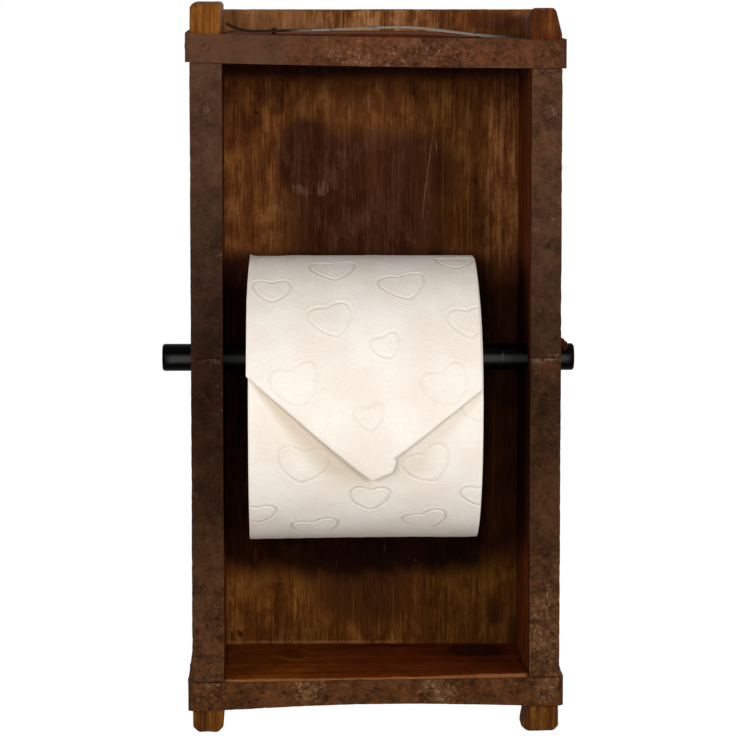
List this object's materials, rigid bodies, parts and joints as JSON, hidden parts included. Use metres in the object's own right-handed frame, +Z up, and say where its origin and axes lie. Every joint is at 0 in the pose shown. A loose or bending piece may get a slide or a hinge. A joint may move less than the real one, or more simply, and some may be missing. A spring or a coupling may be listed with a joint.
{
  "type": "toilet roll holder",
  "caption": "Wall-hung toilet roll holder: an open box from an old brick mould, bound in flat iron straps, with a pull-out rod that carries a paper roll.",
  "frame": {"origin": "on the wall, at the back board's rear face, behind the middle of the box", "axes": "+X to the right as seen from the front, +Y into the wall, +Z up"},
  "size_m": [0.181, 0.1387, 0.319],
  "materials": {
    "side_wood": "old, worn, dark oiled hardwood with lighter rubbed ends",
    "back_wood": "old boards, vertical grain, golden streaks and a dark stain",
    "end_wood": "reddish brown, rubbed, with a lighter worn front edge",
    "band_iron": "rusted flat iron, brown with tan specks",
    "strip_iron": "rusted flat iron, darker and smoother",
    "worn_iron": "thin strip with a bare grey edge",
    "nail_iron": "rusted nail heads",
    "black_rod": "satin black",
    "cardboard": "grey-brown wound board",
    "tissue": "soft embossed tissue, matt",
    "hanger_steel": "zinc plated, dulled"
  },
  "bodies": {
    "box": {"back_board": "back_wood", "back_bottom_nail": "nail_iron", "back_left_nail_1": "nail_iron", "back_left_nail_2": "nail_iron", "back_left_nail_3": "nail_iron", "back_right_nail_1": "nail_iron", "back_right_nail_2": "nail_iron", "back_right_nail_3": "nail_iron", "back_top_nail": "nail_iron", "bottom_band_nail_left": "nail_iron", "bottom_band_nail_middle_left": "nail_iron", "bottom_band_nail_middle_right": "nail_iron", "bottom_band_nail_right": "nail_iron", "bottom_end_board": "end_wood", "bottom_left_corner_nail_front": "nail_iron", "bottom_left_corner_nail_rear": "nail_iron", "bottom_right_corner_nail_front": "nail_iron", "bottom_right_corner_nail_rear": "nail_iron", "bottom_strap_band": "band_iron", "cap_nail_left": "nail_iron", "cap_nail_right": "nail_iron", "left_edge_strip_lower": "strip_iron", "left_edge_strip_upper": "strip_iron", "left_hanger_plate": "hanger_steel", "left_hanger_screw_lower": "hanger_steel", "left_hanger_screw_upper": "hanger_steel", "left_lower_strip_nail_1": "nail_iron", "left_lower_strip_nail_2": "nail_iron", "left_side_board": "side_wood", "left_upper_strip_nail_1": "nail_iron", "left_upper_strip_nail_2": "nail_iron", "right_edge_strip_lower": "strip_iron", "right_edge_strip_upper": "strip_iron", "right_hanger_plate": "hanger_steel", "right_hanger_screw_lower": "hanger_steel", "right_hanger_screw_upper": "hanger_steel", "right_lower_strip_nail_1": "nail_iron", "right_lower_strip_nail_2": "nail_iron", "right_side_board": "side_wood", "right_upper_strip_nail_1": "nail_iron", "right_upper_strip_nail_2": "nail_iron", "top_band_nail_left": "nail_iron", "top_band_nail_middle_left": "nail_iron", "top_band_nail_middle_right": "nail_iron", "top_band_nail_right": "nail_iron", "top_cap_strip": "worn_iron", "top_end_board": "end_wood", "top_left_corner_nail_front": "nail_iron", "top_left_corner_nail_rear": "nail_iron", "top_right_corner_nail_front": "nail_iron", "top_right_corner_nail_rear": "nail_iron", "top_strap_band": "band_iron"},
    "rod": {"roll_rod": "black_rod"},
    "roll": {"roll_core": "cardboard", "paper_roll": "tissue"}
  },
  "joints": [
    {"name": "rod_slide", "type": "slide", "parent": "box", "child": "rod", "axis": [-1, 0, 0], "range_m": [-0.0125, 0.17]},
    {"name": "roll_spin", "type": "hinge", "parent": "box", "child": "roll", "pos_m": [-0.0053, -0.0756, -0.0135], "axis": [1, 0, 0], "continuous": true}
  ]
}
